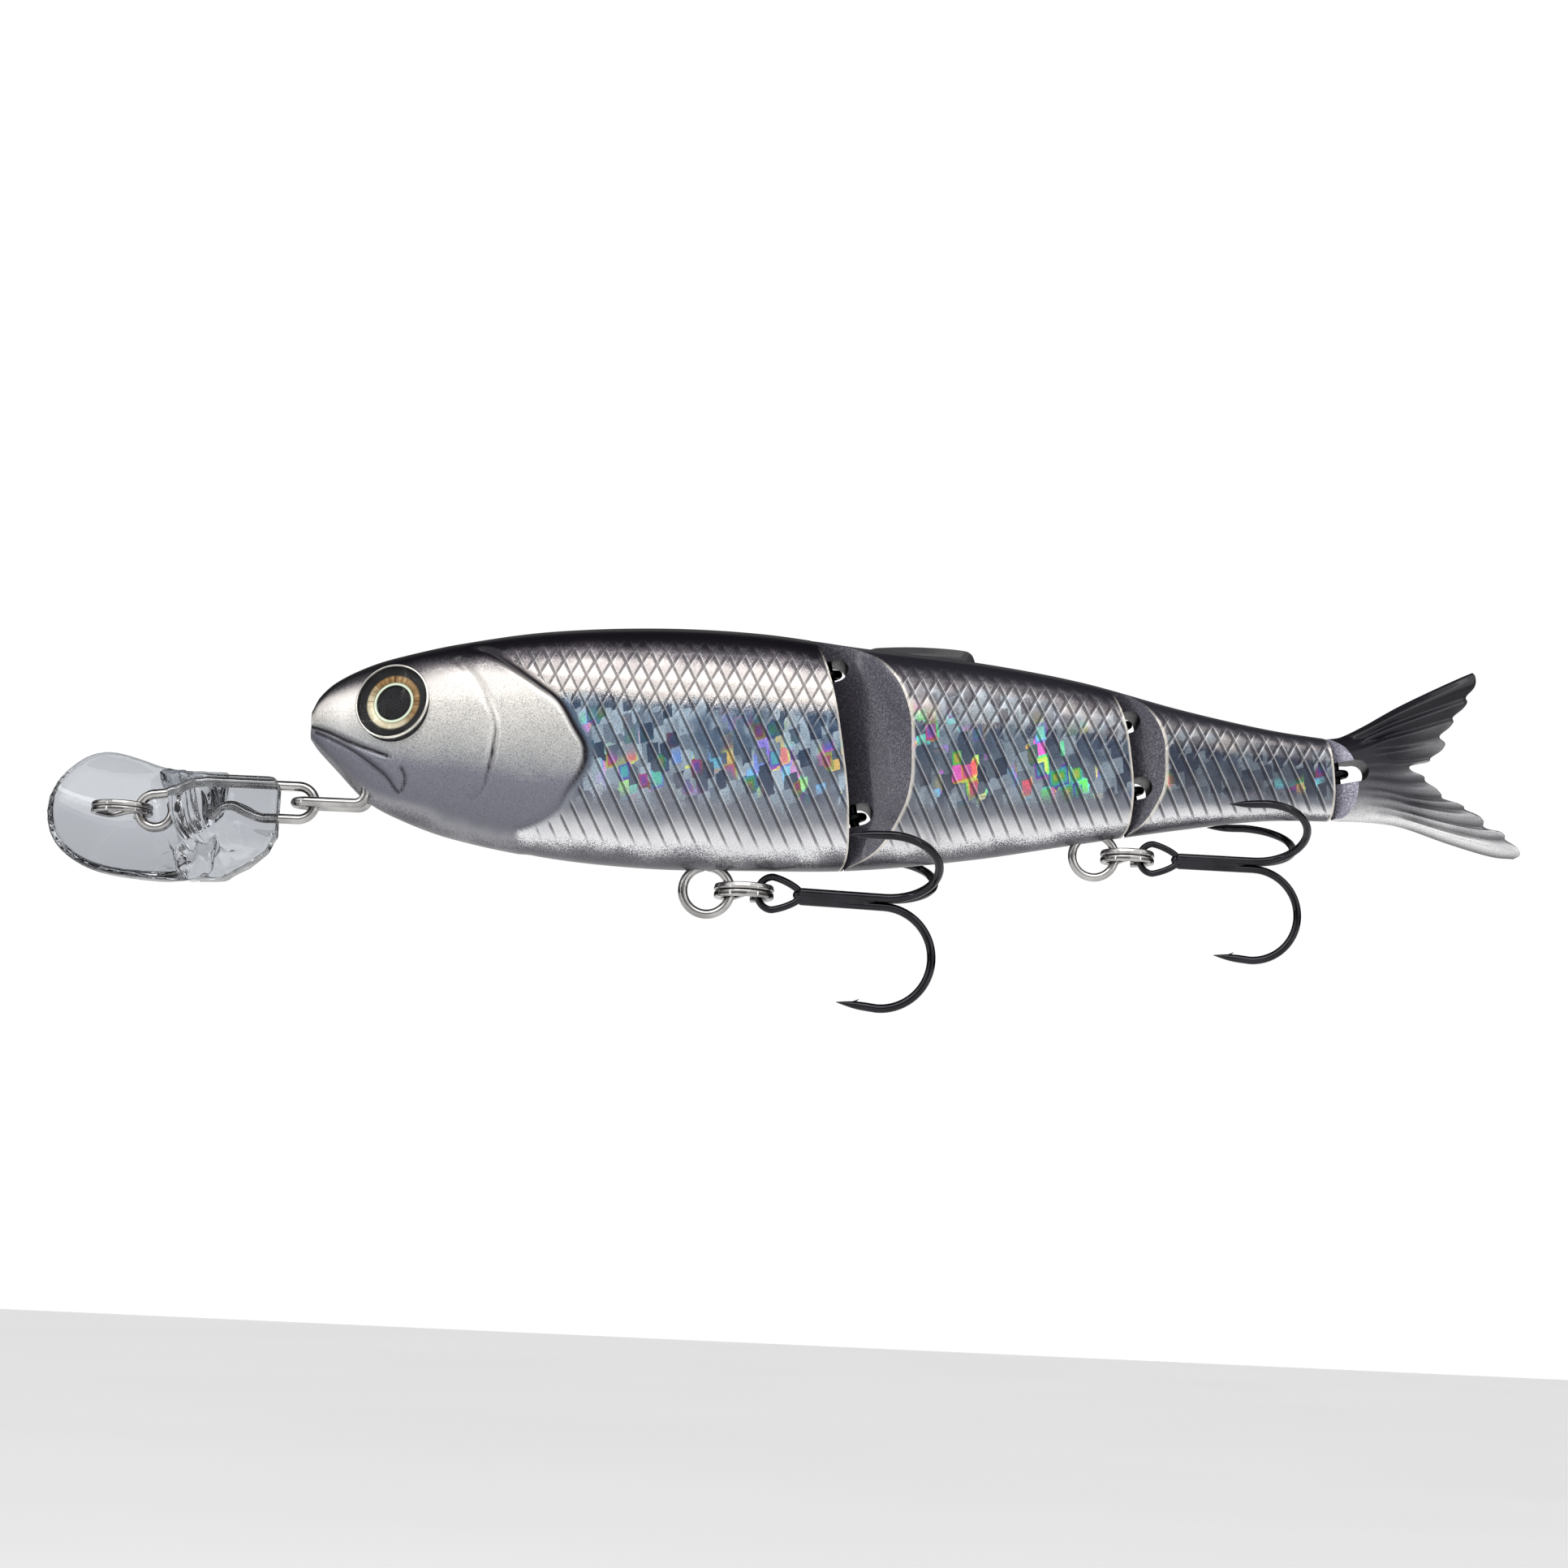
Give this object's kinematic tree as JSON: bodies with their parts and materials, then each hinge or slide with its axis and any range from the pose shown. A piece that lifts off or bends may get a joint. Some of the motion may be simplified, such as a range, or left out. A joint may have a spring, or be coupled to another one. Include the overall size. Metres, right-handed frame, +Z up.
{
  "type": "swimbait",
  "caption": "Jointed hard swimbait whose body sections bend on vertical pins, with a hinged forked tail fin, a clear diving lip linked to the chin and hanging treble hooks.",
  "frame": {"origin": "centre of the line-tie ring at the front of the lip", "axes": "+X from the lip towards the tail along the body's long axis, +Y towards the bait's right side, +Z up through the back"},
  "size_m": [0.2019, 0.0266, 0.0514],
  "materials": {
    "clear_polycarbonate": "clear polished polycarbonate",
    "stainless_wire": "bright drawn stainless wire",
    "painted_body": "dark pearl paint over foil under a gloss clear coat",
    "fin_plastic": "dark gloss paint",
    "iris_foil": "gold foil with a dark pupil",
    "eye_dome": "clear polished resin",
    "black_nickel": "black nickel plating",
    "ballast_steel": "plain steel"
  },
  "bodies": {
    "lip": {"lip_blade": "clear_polycarbonate", "lip_wire": "stainless_wire"},
    "tie_ring": {"line_tie_ring": "stainless_wire"},
    "head": {"head_shell_left": "painted_body", "head_shell_right": "painted_body", "iris_left": "iris_foil", "iris_right": "iris_foil", "eye_lens_left": "eye_dome", "eye_lens_right": "eye_dome", "nose_eye": "stainless_wire", "front_hanger": "stainless_wire", "head_ballast": "ballast_steel", "rattle_ball_front": "ballast_steel", "rattle_ball_rear": "ballast_steel", "front_hinge_eye_lower": "stainless_wire", "front_hinge_eye_upper": "stainless_wire"},
    "middle": {"mid_shell_left": "painted_body", "mid_shell_right": "painted_body", "dorsal_fin": "fin_plastic", "front_hinge_pin": "stainless_wire", "mid_ballast": "ballast_steel", "rear_hanger": "stainless_wire", "rear_hinge_eye_lower": "stainless_wire", "rear_hinge_eye_upper": "stainless_wire"},
    "tail": {"tail_shell_left": "painted_body", "tail_shell_right": "painted_body", "rear_hinge_pin": "stainless_wire", "tail_eye": "stainless_wire"},
    "fin": {"tail_fin": "fin_plastic", "tail_pin": "stainless_wire"},
    "front_ring": {"front_split_ring": "stainless_wire"},
    "front_hook": {"front_treble_hook": "black_nickel"},
    "rear_ring": {"rear_split_ring": "stainless_wire"},
    "rear_hook": {"rear_treble_hook": "black_nickel"}
  },
  "joints": [
    {"name": "lip_link", "type": "hinge", "parent": "lip", "child": "head", "pos_m": [0.0262, 0, 0.00197], "axis": [0, 0, 1], "range_deg": [-45, 45]},
    {"name": "tie_ring_swing", "type": "hinge", "parent": "lip", "child": "tie_ring", "pos_m": [0.0046, 0, 0], "axis": [0, 1, 0], "range_deg": [0, 60]},
    {"name": "front_hinge", "type": "hinge", "parent": "head", "child": "middle", "pos_m": [0.09804, 0, 0.0116], "axis": [-0.2079, 0, 0.9781], "range_deg": [-24, 24]},
    {"name": "rear_hinge", "type": "hinge", "parent": "middle", "child": "tail", "pos_m": [0.1369, 0, 0.012], "axis": [-0.2079, 0, 0.9781], "range_deg": [-20, 20]},
    {"name": "fin_hinge", "type": "hinge", "parent": "tail", "child": "fin", "pos_m": [0.1656, 0, 0.0117], "axis": [-0.1392, 0, 0.9903], "range_deg": [-35, 35]},
    {"name": "front_ring_swing", "type": "hinge", "parent": "head", "child": "front_ring", "pos_m": [0.08021, 0, -0.0075], "axis": [0, 1, 0], "range_deg": [0, 80]},
    {"name": "front_hook_swing", "type": "hinge", "parent": "front_ring", "child": "front_hook", "pos_m": [0.08891, 0, -0.0075], "axis": [0, 1, 0], "range_deg": [0, 60]},
    {"name": "rear_ring_swing", "type": "hinge", "parent": "middle", "child": "rear_ring", "pos_m": [0.13275, 0, -0.0004], "axis": [0, 1, 0], "range_deg": [0, 80]},
    {"name": "rear_hook_swing", "type": "hinge", "parent": "rear_ring", "child": "rear_hook", "pos_m": [0.14058, 0, -0.0004], "axis": [0, 1, 0], "range_deg": [0, 60]}
  ]
}
